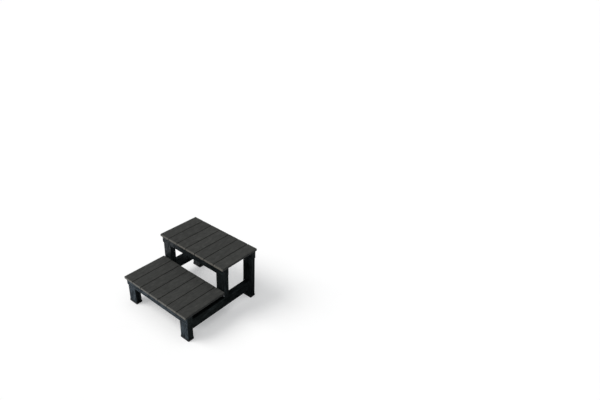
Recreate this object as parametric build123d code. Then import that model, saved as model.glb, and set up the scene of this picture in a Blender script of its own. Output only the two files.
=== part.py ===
"""Two-tier spa steps: a lumber frame on four capped legs carrying two slatted treads.

Millimetres, +Z up, front toward -Y, right toward +X.
Origin: middle of the footprint, on the floor.
"""
import os

from build123d import *

os.makedirs("parts", exist_ok=True)

# Treads
TREAD_WIDTH = 680.0
BOARD_COUNT = 7
BOARD_GAP = 5.0
BOARD_THICKNESS = 18.0
BOARD_EASE = 1.5
BOARD_WIDTH = (TREAD_WIDTH - (BOARD_COUNT - 1) * BOARD_GAP) / BOARD_COUNT
LOWER_TOP = 228.0
UPPER_TOP = 435.0
LOWER_BOARD_LENGTH = 358.0
UPPER_BOARD_LENGTH = 350.0
TOTAL_DEPTH = 697.0

# Frame lumber
LUMBER_WIDE = 80.0
LUMBER_THIN = 42.0
LUMBER_EASE = 2.0
LEG_DEPTH = 45.0
BEAM_HEIGHT = 60.0
BEAM_DEPTH = 45.0
BEAM_END_INSET = 3.0
BEAM_PROUD = 3.0
LEG_SIDE_INSET = 8.0
RAIL_SIDE_INSET = 3.0
FRONT_OVERHANG = 15.0
POST_GAP = 6.0
RAIL_BOTTOM = 85.0
REAR_LEG_BACK_INSET = 12.0

# Foot caps
CAP_WALL = 3.0
CAP_HEIGHT = 13.0
CAP_EASE = 1.5

# Fixings
DECK_SCREW_LENGTH = 56.0
DECK_SCREW_BITE = 13.0
DECK_SCREW_SPREAD = 50.0
DECK_SCREW_SETBACK = 11.0
LONG_SCREW_LENGTH = 100.0
LONG_SCREW_SPREAD = 60.0
POST_SCREW_POCKET = 30.0
BRACKET_SCREW_LENGTH = 30.0
BRACKET_SCREW_SPREAD = 20.0
POST_BRACKET_SCREW_LENGTH = 15.0
POST_BRACKET_SCREW_SPREAD = 14.0
WOOD_SCREW = (4.5, 2.25, 3.0)
SMALL_SCREW = (4.0, 2.0, 2.0)
TIP_LENGTH = 5.0
POCKET_RADIUS = 5.5
BRACKET_ARM = 34.0
BRACKET_WIDTH = 40.0
POST_BRACKET_WIDTH = 20.0
BRACKET_THICKNESS = 2.5

# Derived positions
FRONT = -TOTAL_DEPTH / 2
BACK = TOTAL_DEPTH / 2
HALF_WIDTH = TREAD_WIDTH / 2
LOWER_UNDERSIDE = LOWER_TOP - BOARD_THICKNESS
UPPER_UNDERSIDE = UPPER_TOP - BOARD_THICKNESS
UPPER_FRONT = BACK - UPPER_BOARD_LENGTH
LEG_OUTER = HALF_WIDTH - LEG_SIDE_INSET
LEG_X = LEG_OUTER - LUMBER_WIDE / 2
RAIL_OUTER = LEG_OUTER - RAIL_SIDE_INSET
RAIL_X = RAIL_OUTER - LUMBER_THIN / 2
RAIL_INNER = RAIL_OUTER - LUMBER_THIN
RAIL_TOP = RAIL_BOTTOM + LUMBER_WIDE
LOWER_BEAM_FRONT = FRONT + FRONT_OVERHANG
FRONT_LEG_Y = LOWER_BEAM_FRONT + BEAM_PROUD + LEG_DEPTH / 2
FRONT_LEG_BACK = FRONT_LEG_Y + LEG_DEPTH / 2
POST_FRONT = FRONT + LOWER_BOARD_LENGTH + POST_GAP
POST_Y = POST_FRONT + LEG_DEPTH / 2
POST_BACK = POST_FRONT + LEG_DEPTH
UPPER_BEAM_FRONT = POST_FRONT - BEAM_PROUD
REAR_LEG_BACK = BACK - REAR_LEG_BACK_INSET
REAR_LEG_Y = REAR_LEG_BACK - LEG_DEPTH / 2
REAR_LEG_FRONT = REAR_LEG_BACK - LEG_DEPTH
BRACKET_Z = (RAIL_BOTTOM + RAIL_TOP) / 2
SIDES = {"left": -1, "right": 1}


def span(x, y, z):
    """Box between pairs of limits along X, Y and Z."""
    size = [abs(pair[1] - pair[0]) for pair in (x, y, z)]
    middle = [(pair[0] + pair[1]) / 2 for pair in (x, y, z)]
    return Pos(*middle) * Box(*size)


def lumber(x, y, z, along):
    """Length of lumber whose four long edges are eased."""
    body = span(x, y, z)
    return fillet(body.edges().filter_by(along), LUMBER_EASE)


def screw(kind, length):
    """Countersunk screw, head at the origin, pointing along +Z."""
    head_radius, shank_radius, head_depth = kind
    outline = Polyline(
        (0, 0),
        (head_radius, 0),
        (shank_radius, head_depth),
        (shank_radius, length - TIP_LENGTH),
        (0, length),
        close=True,
    )
    return revolve(Plane.XZ * make_face(outline), Axis.Z)


def pocket(x, y, z_open, z_floor):
    """Round access hole for a screw head, from a lower face up to the screw's seat."""
    depth = z_floor - z_open
    return Pos(x, y, z_open + depth / 2) * Cylinder(POCKET_RADIUS, depth)


def board_centres():
    """X of each board's centre line."""
    pitch = BOARD_WIDTH + BOARD_GAP
    return [(i - (BOARD_COUNT - 1) / 2) * pitch for i in range(BOARD_COUNT)]


def board(x, y_limits, top):
    """One tread board with eased long edges."""
    sides = (x - BOARD_WIDTH / 2, x + BOARD_WIDTH / 2)
    body = span(sides, y_limits, (top - BOARD_THICKNESS, top))
    return fillet(body.edges().filter_by(Axis.Y), BOARD_EASE)


def side_limits(sign, inner, outer):
    """X limits of a piece on the left or right side."""
    return sorted((sign * inner, sign * outer))


def upright(sign, y, bottom, top):
    """Leg or post standing with its wide face to the front."""
    x = side_limits(sign, LEG_OUTER - LUMBER_WIDE, LEG_OUTER)
    return lumber(x, (y - LEG_DEPTH / 2, y + LEG_DEPTH / 2), (bottom, top), Axis.Z)


def rail(sign):
    """Side rail on edge between the front and rear legs."""
    x = side_limits(sign, RAIL_INNER, RAIL_OUTER)
    return lumber(x, (FRONT_LEG_BACK, REAR_LEG_FRONT), (RAIL_BOTTOM, RAIL_TOP), Axis.Y)


def beam(front, top):
    """Cross piece on top of a pair of legs or posts."""
    end = HALF_WIDTH - BEAM_END_INSET
    return lumber((-end, end), (front, front + BEAM_DEPTH), (top - BEAM_HEIGHT, top), Axis.X)


def hung_beam():
    """Cross piece between the rails, in front of the posts, under the lower boards' back ends."""
    y = (POST_FRONT - LUMBER_THIN, POST_FRONT)
    z = (LOWER_UNDERSIDE - LUMBER_WIDE, LOWER_UNDERSIDE)
    return lumber((-RAIL_INNER, RAIL_INNER), y, z, Axis.X)


def foot_cap(sign, y, leg):
    """Shoe around the foot of a leg, with a floor under it."""
    x = side_limits(sign, LEG_OUTER - LUMBER_WIDE - CAP_WALL, LEG_OUTER + CAP_WALL)
    reach = LEG_DEPTH / 2 + CAP_WALL
    body = span(x, (y - reach, y + reach), (0, CAP_HEIGHT))
    body = fillet(body.edges().filter_by(Axis.Z), LUMBER_EASE + CAP_WALL)
    body = chamfer(body.edges().group_by(Axis.Z)[-1], CAP_EASE)
    return body - leg


def bracket(sign, corner_y, inward):
    """Steel angle in the corner between a rail and a leg; inward is the rail's Y direction."""
    z = (BRACKET_Z - BRACKET_WIDTH / 2, BRACKET_Z + BRACKET_WIDTH / 2)
    far = corner_y + inward * BRACKET_ARM
    face = corner_y + inward * BRACKET_THICKNESS
    rail_x = side_limits(sign, RAIL_INNER - BRACKET_THICKNESS, RAIL_INNER)
    leg_x = side_limits(sign, RAIL_INNER - BRACKET_ARM, RAIL_INNER)
    on_rail = span(rail_x, sorted((corner_y, far)), z)
    on_leg = span(leg_x, sorted((corner_y, face)), z)
    return on_rail + on_leg


def post_bracket(sign):
    """Steel angle in the corner between an outermost lower board and the front of a post."""
    x = side_limits(sign, RAIL_OUTER - POST_BRACKET_WIDTH, RAIL_OUTER)
    far = (POST_FRONT - BRACKET_ARM, POST_FRONT)
    near = (POST_FRONT - BRACKET_THICKNESS, POST_FRONT)
    under_board = span(x, far, (LOWER_UNDERSIDE - BRACKET_THICKNESS, LOWER_UNDERSIDE))
    on_post = span(x, near, (LOWER_UNDERSIDE - BRACKET_ARM, LOWER_UNDERSIDE))
    return under_board + on_post


def deck_screw_places(beam_end):
    """X of two screws in each board, leaving out those past the beam's end."""
    offsets = (-DECK_SCREW_SPREAD / 2, DECK_SCREW_SPREAD / 2)
    return [x + dx for x in board_centres() for dx in offsets if abs(x + dx) < beam_end]


def deck_screws(y, underside, beam_end=HALF_WIDTH):
    """Screws up through one beam into the boards."""
    seat = underside + DECK_SCREW_BITE - DECK_SCREW_LENGTH
    one = screw(WOOD_SCREW, DECK_SCREW_LENGTH)
    return [Pos(x, y, seat) * one for x in deck_screw_places(beam_end)]


def deck_pockets(y, underside, beam_bottom, beam_end=HALF_WIDTH):
    """Access holes under one beam's deck screws."""
    seat = underside + DECK_SCREW_BITE - DECK_SCREW_LENGTH
    return [pocket(x, y, beam_bottom, seat) for x in deck_screw_places(beam_end)]


def beam_screws():
    """Screws down through the three upper beams into the legs and posts."""
    one = Rot(180, 0, 0) * screw(WOOD_SCREW, LONG_SCREW_LENGTH)
    rows = ((FRONT_LEG_Y, LOWER_UNDERSIDE), (POST_Y, UPPER_UNDERSIDE), (REAR_LEG_Y, UPPER_UNDERSIDE))
    inner = LEG_X - LONG_SCREW_SPREAD / 2
    outer = LEG_X + LONG_SCREW_SPREAD / 2
    return [Pos(x, y, top) * one for y, top in rows for x in (-outer, -inner, inner, outer)]


def post_screws():
    """One screw up through each rail into the post on it."""
    one = screw(WOOD_SCREW, LONG_SCREW_LENGTH)
    return [Pos(sign * RAIL_X, POST_Y, RAIL_BOTTOM + POST_SCREW_POCKET) * one for sign in SIDES.values()]


def post_pockets():
    """Access holes under the rails for the post screws."""
    floor = RAIL_BOTTOM + POST_SCREW_POCKET
    return [pocket(sign * RAIL_X, POST_Y, RAIL_BOTTOM, floor) for sign in SIDES.values()]


def hung_beam_screws():
    """Screws forward through each post into the hung beam."""
    one = Rot(90, 0, 0) * screw(WOOD_SCREW, DECK_SCREW_LENGTH)
    x = RAIL_INNER - LUMBER_THIN / 2
    middle = (RAIL_TOP + LOWER_UNDERSIDE) / 2
    heights = (middle - BRACKET_SCREW_SPREAD / 2, middle + BRACKET_SCREW_SPREAD / 2)
    return [Pos(sign * x, POST_BACK, z) * one for sign in SIDES.values() for z in heights]


def bracket_screws(corners):
    """Two screws through each arm of every bracket."""
    one = screw(SMALL_SCREW, BRACKET_SCREW_LENGTH)
    heights = (BRACKET_Z - BRACKET_SCREW_SPREAD / 2, BRACKET_Z + BRACKET_SCREW_SPREAD / 2)
    reach = (BRACKET_ARM + BRACKET_THICKNESS) / 2
    found = []
    for sign, corner_y, inward in corners:
        for z in heights:
            to_leg = Pos(sign * (RAIL_INNER - reach), corner_y + inward * BRACKET_THICKNESS, z)
            to_rail = Pos(sign * (RAIL_INNER - BRACKET_THICKNESS), corner_y + inward * reach, z)
            found.append(to_leg * Rot(inward * 90, 0, 0) * one)
            found.append(to_rail * Rot(0, sign * 90, 0) * one)
    return found


def post_bracket_screws():
    """Two screws in line through each arm of the post brackets."""
    one = screw(SMALL_SCREW, POST_BRACKET_SCREW_LENGTH)
    middle = (BRACKET_ARM + BRACKET_THICKNESS) / 2
    found = []
    for sign in SIDES.values():
        x = sign * (RAIL_OUTER - POST_BRACKET_WIDTH / 2)
        for offset in (-POST_BRACKET_SCREW_SPREAD / 2, POST_BRACKET_SCREW_SPREAD / 2):
            reach = middle + offset
            to_post = Pos(x, POST_FRONT - BRACKET_THICKNESS, LOWER_UNDERSIDE - reach)
            to_board = Pos(x, POST_FRONT - reach, LOWER_UNDERSIDE - BRACKET_THICKNESS)
            found.append(to_post * Rot(-90, 0, 0) * one)
            found.append(to_board * one)
    return found


def drilled(body, tools):
    """Body with the shapes of the fixings near it removed."""
    box = body.bounding_box()
    for tool in tools:
        other = tool.bounding_box()
        apart = (
            other.min.X > box.max.X or other.max.X < box.min.X
            or other.min.Y > box.max.Y or other.max.Y < box.min.Y
            or other.min.Z > box.max.Z or other.max.Z < box.min.Z
        )
        if not apart:
            body = body - tool
    return body


# Screw groups and their access holes
lower_front_screw_y = LOWER_BEAM_FRONT + DECK_SCREW_SETBACK
lower_rear_screw_y = POST_FRONT - LUMBER_THIN / 2 - POST_GAP / 2
upper_front_screw_y = UPPER_BEAM_FRONT + DECK_SCREW_SETBACK
upper_rear_screw_y = REAR_LEG_FRONT + BEAM_DEPTH - DECK_SCREW_SETBACK
corners = [
    (sign, corner_y, inward)
    for sign in SIDES.values()
    for corner_y, inward in ((FRONT_LEG_BACK, 1), (REAR_LEG_FRONT, -1))
]
groups = {
    "lower_front_deck_screws": deck_screws(lower_front_screw_y, LOWER_UNDERSIDE),
    "lower_rear_deck_screws": deck_screws(lower_rear_screw_y, LOWER_UNDERSIDE, RAIL_INNER),
    "upper_front_deck_screws": deck_screws(upper_front_screw_y, UPPER_UNDERSIDE),
    "upper_rear_deck_screws": deck_screws(upper_rear_screw_y, UPPER_UNDERSIDE),
    "beam_screws": beam_screws(),
    "post_screws": post_screws(),
    "hung_beam_screws": hung_beam_screws(),
    "bracket_screws": bracket_screws(corners),
    "post_bracket_screws": post_bracket_screws(),
}
screws = [one for group in groups.values() for one in group]

# Frame pieces before drilling
pieces = {}
for side, sign in SIDES.items():
    pieces[f"front_leg_{side}"] = upright(sign, FRONT_LEG_Y, CAP_WALL, LOWER_UNDERSIDE - BEAM_HEIGHT)
    pieces[f"mid_post_{side}"] = upright(sign, POST_Y, RAIL_TOP, UPPER_UNDERSIDE - BEAM_HEIGHT)
    pieces[f"rear_leg_{side}"] = upright(sign, REAR_LEG_Y, CAP_WALL, UPPER_UNDERSIDE - BEAM_HEIGHT)
    pieces[f"side_rail_{side}"] = rail(sign)
    pieces[f"front_rail_bracket_{side}"] = bracket(sign, FRONT_LEG_BACK, 1)
    pieces[f"rear_rail_bracket_{side}"] = bracket(sign, REAR_LEG_FRONT, -1)
    pieces[f"post_bracket_{side}"] = post_bracket(sign)
caps = {}
for side, sign in SIDES.items():
    caps[f"front_foot_cap_{side}"] = foot_cap(sign, FRONT_LEG_Y, pieces[f"front_leg_{side}"])
    caps[f"rear_foot_cap_{side}"] = foot_cap(sign, REAR_LEG_Y, pieces[f"rear_leg_{side}"])
pieces["lower_front_beam"] = beam(LOWER_BEAM_FRONT, LOWER_UNDERSIDE)
pieces["lower_rear_beam"] = hung_beam()
pieces["upper_front_beam"] = beam(UPPER_BEAM_FRONT, UPPER_UNDERSIDE)
pieces["upper_rear_beam"] = beam(REAR_LEG_FRONT, UPPER_UNDERSIDE)

# Tread boards before drilling
for number, x in enumerate(board_centres(), start=1):
    lower_y = (FRONT, FRONT + LOWER_BOARD_LENGTH)
    pieces[f"lower_tread_board_{number}"] = board(x, lower_y, LOWER_TOP)
    pieces[f"upper_tread_board_{number}"] = board(x, (UPPER_FRONT, BACK), UPPER_TOP)

# Drilling
pockets = {
    "lower_front_beam": deck_pockets(lower_front_screw_y, LOWER_UNDERSIDE, LOWER_UNDERSIDE - BEAM_HEIGHT),
    "lower_rear_beam": deck_pockets(
        lower_rear_screw_y, LOWER_UNDERSIDE, LOWER_UNDERSIDE - LUMBER_WIDE, RAIL_INNER
    ),
    "upper_front_beam": deck_pockets(upper_front_screw_y, UPPER_UNDERSIDE, UPPER_UNDERSIDE - BEAM_HEIGHT),
    "upper_rear_beam": deck_pockets(upper_rear_screw_y, UPPER_UNDERSIDE, UPPER_UNDERSIDE - BEAM_HEIGHT),
    "side_rail_left": post_pockets(),
    "side_rail_right": post_pockets(),
}
for name in pieces:
    pieces[name] = drilled(pieces[name], screws + pockets.get(name, []))

# Export
for name, shape in {**pieces, **caps}.items():
    export_step(shape, f"parts/{name}.step")
for name, solids in groups.items():
    export_step(Compound(children=solids), f"parts/{name}.step")
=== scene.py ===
"""Two-tier spa steps: materials, floor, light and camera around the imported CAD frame."""
import math

import bpy
from mathutils import Euler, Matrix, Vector


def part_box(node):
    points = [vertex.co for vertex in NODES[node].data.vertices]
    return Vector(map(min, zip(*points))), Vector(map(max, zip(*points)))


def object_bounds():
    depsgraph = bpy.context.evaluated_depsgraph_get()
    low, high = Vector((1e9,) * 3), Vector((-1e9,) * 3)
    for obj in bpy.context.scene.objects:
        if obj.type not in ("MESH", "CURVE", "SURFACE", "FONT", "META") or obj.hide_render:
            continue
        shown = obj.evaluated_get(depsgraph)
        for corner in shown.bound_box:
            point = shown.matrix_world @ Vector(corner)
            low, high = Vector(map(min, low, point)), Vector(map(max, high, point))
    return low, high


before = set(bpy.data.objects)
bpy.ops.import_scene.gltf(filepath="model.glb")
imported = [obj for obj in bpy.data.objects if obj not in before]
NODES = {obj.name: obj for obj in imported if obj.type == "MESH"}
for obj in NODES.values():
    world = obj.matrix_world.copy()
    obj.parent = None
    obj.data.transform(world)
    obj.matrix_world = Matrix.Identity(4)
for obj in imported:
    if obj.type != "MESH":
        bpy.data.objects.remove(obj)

CAD_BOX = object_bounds()
MM = 0.001

# Camera: place in metres, turn in degrees, lens and sensor width in millimetres
CAMERA_PLACE = (2.365, -1.8829, 2.5038)
CAMERA_TURN = (61.35, -2.91, 38.1)
CAMERA_LENS = 29.17
SENSOR_WIDTH = 36.0

# Colours as seen, red, green and blue from 0 to 255
BOARD_DARK = (37, 38, 36)
BOARD_MAIN = (54, 55, 53)
BOARD_LIGHT = (76, 77, 74)
BOARD_WORN = (90, 88, 84)
# Painted shade: darker colour for the boards' long sides
BOARD_SIDE_SHADE = (34, 35, 36)
END_DARK = (86, 83, 77)
END_LIGHT = (120, 117, 110)
LUMBER_DARK = (5, 8, 7)
LUMBER_MAIN = (14, 18, 18)
LUMBER_LIGHT = (34, 40, 41)
LUMBER_SHEEN = (212, 232, 244)
CAP_MAIN = (14, 15, 16)
CAP_SCUFF = (46, 46, 46)
STEEL_DARK = (110, 110, 108)
STEEL_LIGHT = (176, 177, 176)
ZINC_DARK = (176, 180, 184)
ZINC_LIGHT = (226, 229, 231)
FLOOR_DARK = (222, 222, 222)
FLOOR_LIGHT = (228, 228, 227)
FLOOR_TINT = (253, 254, 255)
# Painted shade and painted sky: colours of the cards that only reflections see
CARD_SHADE_DARK = (20, 22, 20)
CARD_SHADE_DIM = (38, 40, 38)
CARD_SHADE_MIDDLE = (136, 141, 136)
CARD_SKY_GLOW = (206, 221, 236)

# Noise features per metre, across the axis they are drawn out along and on that axis
BOARD_STREAKS = (130, 11)
BOARD_BRUSH = (1100, 26)
BOARD_BLOTCH = (48, 30)
BOARD_FLECK = (1500, 700)
BOARD_SAW = (90, 1300)
BOARD_FIBRE = (700, 700)
LUMBER_GRAIN = (110, 9)
LUMBER_PORES = (620, 22)
LUMBER_CLOUD = (66, 20)
LUMBER_DULL = (120, 27)
CAP_CELL = (900, 900)
CAP_SCUFFS = (120, 320)
STEEL_MARKS = (900, 200)
ZINC_SPANGLE = (90, 90)
STEEL_DIRT = (150, 150)
FLOOR_MOTTLE = (3, 3)

# Depth of the relief, and how far wear reaches from an edge or the floor
BOARD_RELIEF = 0.5 * MM
LUMBER_RELIEF = 1.3 * MM
CAP_RELIEF = 0.2 * MM
STEEL_RELIEF = 0.05 * MM
BOARD_EDGE = 2.2 * MM
LUMBER_EDGE = 3.0 * MM
CAP_SCUFF_HEIGHT = 8 * MM

# Spread of tone from board to board, and how many noise patterns one node may take up
BOARD_TONE_SPREAD = 0.015
SEEDS_PER_NODE = 6

# Floor: side in metres, and strength of its own light
FLOOR_SIZE = 160
FLOOR_GLOW = 0.37

# Cards seen only in reflections, painted shade and a glowing painted sky: reach along X and along
# Y in metres, colour, and strength of their own light
CARD_HEIGHT = 1 * MM
CARDS = {
    "shade_card_under": ((-0.28, 0.34), (-0.325, 0.345), CARD_SHADE_DARK, 0.0),
    "shade_card_right": ((0.34, 0.85), (-0.6, 0.1), CARD_SHADE_MIDDLE, 0.0),
    "shade_card_back": ((0.34, 1.1), (0.1, 1.2), CARD_SHADE_DIM, 0.0),
    "sky_glow_card_front": ((-1.5, 0.34), (-1.6, -0.335), CARD_SKY_GLOW, 0.4),
}

# Sky strength as light on the object, and as seen behind it
SKY_LIGHT = 0.12
SKY_SEEN = 0.97

# Sockets of the Mix node that hold colours
MIX_A, MIX_B, MIX_OUT = 6, 7, 2


def linear(colour):
    """Scene-linear colour from one given as 0 to 255."""
    parts = [c / 255 for c in colour]
    low = [p / 12.92 if p <= 0.04045 else ((p + 0.055) / 1.055) ** 2.4 for p in parts]
    return (*low, 1.0)


def along(axis, across, lengthwise):
    """Noise scale with its features drawn out along one axis."""
    scale = [across] * 3
    scale[axis] = lengthwise
    return scale


def shift(seed):
    """Offset into the noise, so that no two pieces share a pattern."""
    return (seed * 3.7 % 11, seed * 7.3 % 13, seed * 5.1 % 17)


class Finish:
    """One material and short calls that add and wire its nodes."""

    def __init__(self, name):
        self.material = bpy.data.materials.new(name)
        self.material.use_nodes = True
        self.tree = self.material.node_tree
        self.shader = self.tree.nodes["Principled BSDF"]
        self.place = self.add("ShaderNodeTexCoord")

    def add(self, kind, **settings):
        node = self.tree.nodes.new(kind)
        for key, value in settings.items():
            setattr(node, key, value)
        return node

    def wire(self, source, target):
        """Joins an output to an input, or sets the input when source is a plain value."""
        if isinstance(source, bpy.types.NodeSocket):
            self.tree.links.new(source, target)
        else:
            target.default_value = source

    def set(self, **values):
        """Sets or wires the shader's own sockets, spaces written as underscores."""
        for key, value in values.items():
            self.wire(value, self.shader.inputs[key.replace("_", " ")])

    def math(self, operation, a, b=0.0):
        node = self.add("ShaderNodeMath", operation=operation)
        self.wire(a, node.inputs[0])
        self.wire(b, node.inputs[1])
        return node.outputs[0]

    def total(self, *terms):
        """Sum of values, each times its weight."""
        products = [self.math("MULTIPLY", value, weight) for value, weight in terms]
        result = products[0]
        for product in products[1:]:
            result = self.math("ADD", result, product)
        return result

    def fade(self, value, low, high, start=0.0, end=1.0):
        """Smooth step of value from low to high, giving start to end."""
        node = self.add("ShaderNodeMapRange", interpolation_type="SMOOTHSTEP")
        for socket, number in zip(node.inputs, (value, low, high, start, end)):
            self.wire(number, socket)
        return node.outputs["Result"]

    def mix(self, factor, a, b):
        """Blend of two colours."""
        node = self.add("ShaderNodeMix", data_type="RGBA")
        self.wire(factor, node.inputs["Factor"])
        self.wire(a, node.inputs[MIX_A])
        self.wire(b, node.inputs[MIX_B])
        return node.outputs[MIX_OUT]

    def noise(self, scale, seed, detail, roughness=0.55, distortion=0.0):
        """Noise whose features per metre along X, Y and Z are given by scale."""
        mapping = self.add("ShaderNodeMapping")
        self.wire(self.place.outputs["Object"], mapping.inputs["Vector"])
        mapping.inputs["Location"].default_value = shift(seed)
        mapping.inputs["Scale"].default_value = scale
        node = self.add("ShaderNodeTexNoise")
        self.wire(mapping.outputs[0], node.inputs["Vector"])
        node.inputs["Scale"].default_value = 1.0
        node.inputs["Detail"].default_value = detail
        node.inputs["Roughness"].default_value = roughness
        node.inputs["Distortion"].default_value = distortion
        return node.outputs["Fac"]

    def parts(self, source):
        """X, Y and Z of the position ("Object") or of the normal ("Normal")."""
        split = self.add("ShaderNodeSeparateXYZ")
        self.wire(self.place.outputs[source], split.inputs[0])
        return split.outputs

    def facing(self, axis):
        """1 on faces square to an axis, 0 on the others."""
        return self.fade(self.math("ABSOLUTE", self.parts("Normal")[axis]), 0.6, 0.9)

    def edge_distance(self, box):
        """Metres from a point on the faces of a box to the nearest edge of that box."""
        position = self.parts("Object")
        gaps = []
        for axis in range(3):
            middle = (box[0][axis] + box[1][axis]) / 2
            half = (box[1][axis] - box[0][axis]) / 2
            offset = self.math("SUBTRACT", position[axis], middle)
            gaps.append(self.math("SUBTRACT", half, self.math("ABSOLUTE", offset)))
        smaller = self.math("MINIMUM", gaps[0], gaps[1])
        larger = self.math("MAXIMUM", gaps[0], gaps[1])
        return self.math("MAXIMUM", smaller, self.math("MINIMUM", larger, gaps[2]))

    def bump(self, height, depth):
        """Surface relief, depth in metres."""
        node = self.add("ShaderNodeBump")
        node.inputs["Strength"].default_value = 1.0
        node.inputs["Distance"].default_value = depth
        self.wire(height, node.inputs["Height"])
        self.wire(node.outputs[0], self.shader.inputs["Normal"])


def board_finish(node, seed):
    """Matt charcoal composite: brushed lengthwise grain, flecks, sawn taupe ends, and painted
    shade darkening the long sides.
    """
    f = Finish(f"{node}_composite")
    streaks = f.noise(along(1, *BOARD_STREAKS), seed, detail=7, roughness=0.7)
    brush = f.noise(along(1, *BOARD_BRUSH), seed + 1, detail=3, roughness=0.6)
    blotch = f.noise(along(1, *BOARD_BLOTCH), seed + 2, detail=4, roughness=0.65)
    fleck = f.noise(along(1, *BOARD_FLECK), seed + 3, detail=2, roughness=0.5)
    saw = f.noise(along(2, *BOARD_SAW), seed + 4, detail=3, roughness=0.6)
    fibre = f.noise(along(1, *BOARD_FIBRE), seed + 5, detail=5, roughness=0.7)
    edge = f.fade(f.edge_distance(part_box(node)), 0.0, BOARD_EDGE, start=1, end=0)
    is_end = f.facing(1)

    tone = f.total((streaks, 0.4), (brush, 0.3), (blotch, 0.3))
    tone = f.math("ADD", tone, BOARD_TONE_SPREAD * math.sin(seed * 2.4))
    face = f.mix(f.fade(tone, 0.36, 0.52), linear(BOARD_DARK), linear(BOARD_MAIN))
    face = f.mix(f.fade(tone, 0.50, 0.66), face, linear(BOARD_LIGHT))
    face = f.mix(f.fade(fleck, 0.66, 0.78, end=0.45), face, linear(BOARD_WORN))
    # Painted shade: faces square to X, the long sides of a board, are mixed three quarters toward
    # a darker colour
    face = f.mix(f.math("MULTIPLY", f.facing(0), 0.75), face, linear(BOARD_SIDE_SHADE))
    worn = f.math("MULTIPLY", edge, f.fade(blotch, 0.35, 0.7, start=0.05, end=0.5))
    face = f.mix(worn, face, linear(BOARD_WORN))

    sawn = f.total((saw, 0.5), (fibre, 0.5))
    end = f.mix(f.fade(sawn, 0.38, 0.64), linear(END_DARK), linear(END_LIGHT))
    end = f.mix(f.math("MULTIPLY", edge, 0.5), end, linear(BOARD_MAIN))

    brushed = f.total((streaks, 0.6), (brush, 0.4))
    f.bump(f.total((brushed, f.math("SUBTRACT", 1.0, is_end)), (sawn, is_end)), BOARD_RELIEF)
    f.set(
        Base_Color=f.mix(is_end, face, end),
        Roughness=f.fade(brush, 0.3, 0.7, start=0.62, end=0.8),
        IOR=1.45,
    )
    return f.material


def lumber_finish(node, seed, axis):
    """Satin blue-black plastic lumber with an embossed wood grain along its length."""
    f = Finish(f"{node}_lumber")
    grain = f.noise(along(axis, *LUMBER_GRAIN), seed, detail=5, roughness=0.6, distortion=0.6)
    pores = f.noise(along(axis, *LUMBER_PORES), seed + 1, detail=4, roughness=0.6)
    cloud = f.noise(along(axis, *LUMBER_CLOUD), seed + 2, detail=4, roughness=0.6, distortion=0.4)
    dull = f.noise(along(axis, *LUMBER_DULL), seed + 3, detail=5, roughness=0.65, distortion=0.5)
    edge = f.fade(f.edge_distance(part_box(node)), 0.0, LUMBER_EDGE, start=1, end=0)

    tone = f.total((grain, 0.35), (cloud, 0.5), (pores, 0.15))
    colour = f.mix(f.fade(tone, 0.38, 0.51), linear(LUMBER_DARK), linear(LUMBER_MAIN))
    colour = f.mix(f.fade(tone, 0.48, 0.62), colour, linear(LUMBER_LIGHT))
    worn = f.math("MULTIPLY", edge, f.fade(cloud, 0.35, 0.65, start=0.1, end=0.7))
    colour = f.mix(worn, colour, linear(LUMBER_LIGHT))

    f.bump(f.total((grain, 0.4), (pores, 0.3), (dull, 0.3)), LUMBER_RELIEF)
    f.set(
        Base_Color=colour,
        Roughness=f.fade(dull, 0.42, 0.58, start=0.29, end=0.72),
        IOR=1.3,
        Specular_Tint=linear(LUMBER_SHEEN),
    )
    return f.material


def cap_finish(node, seed):
    """Matt black moulded rubber, scuffed toward the floor."""
    f = Finish(f"{node}_rubber")
    cell = f.noise(along(2, *CAP_CELL), seed, detail=3, roughness=0.6)
    scuff = f.noise(along(2, *CAP_SCUFFS), seed + 1, detail=5, roughness=0.65)
    low = f.fade(f.parts("Object")[2], 0.0, CAP_SCUFF_HEIGHT, start=1, end=0.15)
    marked = f.math("MULTIPLY", low, f.fade(scuff, 0.5, 0.75, end=0.8))
    f.bump(f.math("ADD", cell, f.math("MULTIPLY", scuff, 0.5)), CAP_RELIEF)
    f.set(
        Base_Color=f.mix(marked, linear(CAP_MAIN), linear(CAP_SCUFF)),
        Roughness=f.fade(scuff, 0.3, 0.7, start=0.55, end=0.75),
        IOR=1.5,
    )
    return f.material


def steel_finish(name, dark, light, features, rough):
    """Plain or plated steel with drawn marks or spangle."""
    f = Finish(name)
    marks = f.noise(along(2, *features), 3, detail=4, roughness=0.6)
    dirt = f.noise(along(2, *STEEL_DIRT), 5, detail=4, roughness=0.6)
    f.bump(marks, STEEL_RELIEF)
    f.set(
        Base_Color=f.mix(f.fade(marks, 0.35, 0.65), linear(dark), linear(light)),
        Roughness=f.fade(dirt, 0.35, 0.65, start=rough, end=rough + 0.2),
        Metallic=1.0,
    )
    return f.material


def dress(node, material):
    """Gives a CAD node one material."""
    slots = NODES[node].data.materials
    for index in range(len(slots)):
        slots[index] = material


def finish_nodes():
    """Every CAD node gets its finish by what it is."""
    screws = steel_finish("stainless_screws", STEEL_DARK, STEEL_LIGHT, STEEL_MARKS, rough=0.3)
    zinc = steel_finish("zinc_plate", ZINC_DARK, ZINC_LIGHT, ZINC_SPANGLE, rough=0.5)
    for index, node in enumerate(sorted(NODES)):
        seed = index * SEEDS_PER_NODE + 1
        if "board" in node:
            dress(node, board_finish(node, seed))
        elif "cap" in node:
            dress(node, cap_finish(node, seed))
        elif "screws" in node:
            dress(node, screws)
        elif "bracket" in node:
            dress(node, zinc)
        else:
            size = [high - low for low, high in zip(*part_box(node))]
            dress(node, lumber_finish(node, seed, size.index(max(size))))


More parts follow.
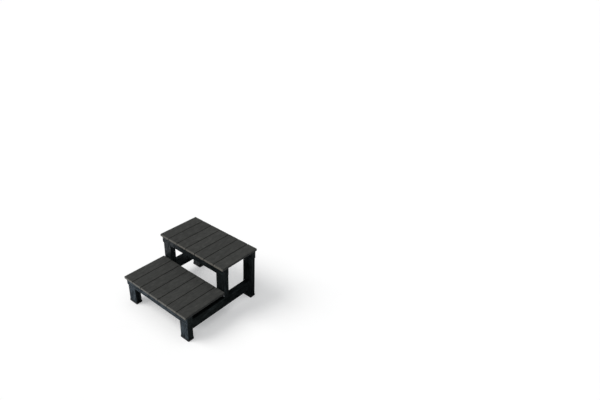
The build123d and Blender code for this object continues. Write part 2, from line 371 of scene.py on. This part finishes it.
def floor():
    """Wide plain pale floor with a faint mottle."""
    bpy.ops.mesh.primitive_plane_add(size=FLOOR_SIZE, location=(0, 0, CAD_BOX[0].z))
    plane = bpy.context.object
    plane.name = "studio_floor"
    f = Finish("pale_floor")
    mottle = f.noise(along(2, *FLOOR_MOTTLE), 0, detail=3)
    f.set(
        Base_Color=f.mix(mottle, linear(FLOOR_DARK), linear(FLOOR_LIGHT)),
        Roughness=0.8,
        Specular_IOR_Level=0.0,
        Emission_Color=linear(FLOOR_TINT),
        Emission_Strength=FLOOR_GLOW,
    )
    plane.data.materials.append(f.material)


def card(name, x, y, colour, glow):
    """Card on the floor that only reflections see, in place of what surrounds the real steps: a
    painted reflection, of shade where dark and of sky where it glows.
    """
    middle = ((x[0] + x[1]) / 2, (y[0] + y[1]) / 2, CARD_HEIGHT)
    bpy.ops.mesh.primitive_plane_add(size=1, location=middle)
    plane = bpy.context.object
    plane.name = name
    plane.scale = (x[1] - x[0], y[1] - y[0], 1)
    f = Finish(name)
    f.set(
        Base_Color=linear(colour),
        Roughness=1.0,
        Emission_Color=linear(colour),
        Emission_Strength=glow,
    )
    plane.data.materials.append(f.material)
    plane.visible_camera = False
    plane.visible_diffuse = False
    plane.visible_shadow = False
    plane.visible_transmission = False


def cards():
    """Painted shade: dark cards under the steps and in the spa's shade, a mid-grey one for the
    shaded ground at the right; and a glowing blue card in front as painted sky reflection.
    """
    for name, (x, y, colour, glow) in CARDS.items():
        card(name, x, y, colour, glow)


def sun(name, direction, strength, softness, colour):
    """Even light travelling along a direction, softness in degrees."""
    data = bpy.data.lights.new(name, "SUN")
    data.energy = strength
    data.angle = math.radians(softness)
    data.color = colour
    lamp = bpy.data.objects.new(name, data)
    lamp.rotation_euler = Vector(direction).to_track_quat("-Z", "Y").to_euler()
    bpy.context.collection.objects.link(lamp)


def suns():
    """Soft key from the front left, and softer light from above."""
    sun("key", (0.7, 0.62, -1.0), strength=1.85, softness=38, colour=(1.0, 0.99, 0.98))
    sun("top", (-0.05, 0.1, -1.0), strength=1.0, softness=70, colour=(1.0, 1.0, 1.0))


def sky():
    """Even sky, dim as light on the object and pale behind it."""
    world = bpy.data.worlds.new("sky")
    world.use_nodes = True
    tree = world.node_tree
    background = tree.nodes["Background"]
    background.inputs["Color"].default_value = (0.95, 0.97, 1.0, 1)
    path = tree.nodes.new("ShaderNodeLightPath")
    strength = tree.nodes.new("ShaderNodeMapRange")
    strength.inputs["To Min"].default_value = SKY_LIGHT
    strength.inputs["To Max"].default_value = SKY_SEEN
    tree.links.new(path.outputs["Is Camera Ray"], strength.inputs["Value"])
    tree.links.new(strength.outputs["Result"], background.inputs["Strength"])
    bpy.context.scene.world = world


def camera():
    """Camera high up at the front right, with the steps at the lower left of its view."""
    data = bpy.data.cameras.new("camera")
    data.lens = CAMERA_LENS
    data.sensor_width = SENSOR_WIDTH
    item = bpy.data.objects.new("camera", data)
    item.location = CAMERA_PLACE
    item.rotation_euler = Euler([math.radians(a) for a in CAMERA_TURN], "XYZ")
    bpy.context.collection.objects.link(item)
    bpy.context.scene.camera = item


bpy.context.scene.view_settings.view_transform = "Standard"
finish_nodes()
floor()
cards()
suns()
sky()
camera()
